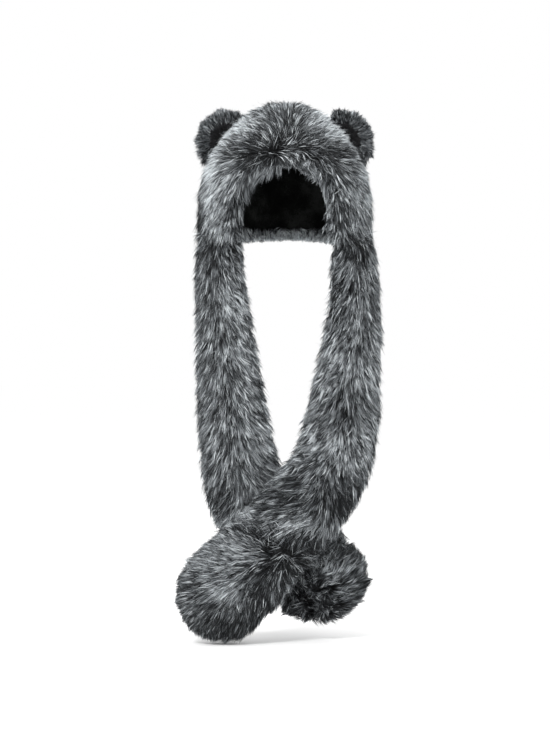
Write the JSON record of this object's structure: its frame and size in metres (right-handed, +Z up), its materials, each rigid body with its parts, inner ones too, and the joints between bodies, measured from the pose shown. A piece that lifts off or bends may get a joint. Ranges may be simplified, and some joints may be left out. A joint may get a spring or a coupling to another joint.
{
  "type": "animal hood scarf",
  "caption": "Deep-pile fur hood with round bear ears and a dark lining, and two long fur scarf arms that cross low in front and end in fur paws",
  "frame": {"origin": "inside top of the hood's lining, where the crown of a head carries it", "axes": "+Z up, the face opening towards -Y, the wearer's left towards +X"},
  "size_m": [0.3583, 0.2807, 0.9411],
  "materials": {
    "fur": "deep faux fur, near-black roots, grey shafts and pale grey tips",
    "dark_pile": "short dense black pile",
    "lining": "smooth black plush lining"
  },
  "bodies": {
    "root": {"hood_lining": "lining", "hood_fur": "fur", "ear_left": "fur", "ear_right": "fur", "ear_inner_left": "dark_pile", "ear_inner_right": "dark_pile", "scarf_left": "fur", "scarf_right": "fur", "paw_left": "fur", "paw_right": "fur"}
  },
  "joints": []
}
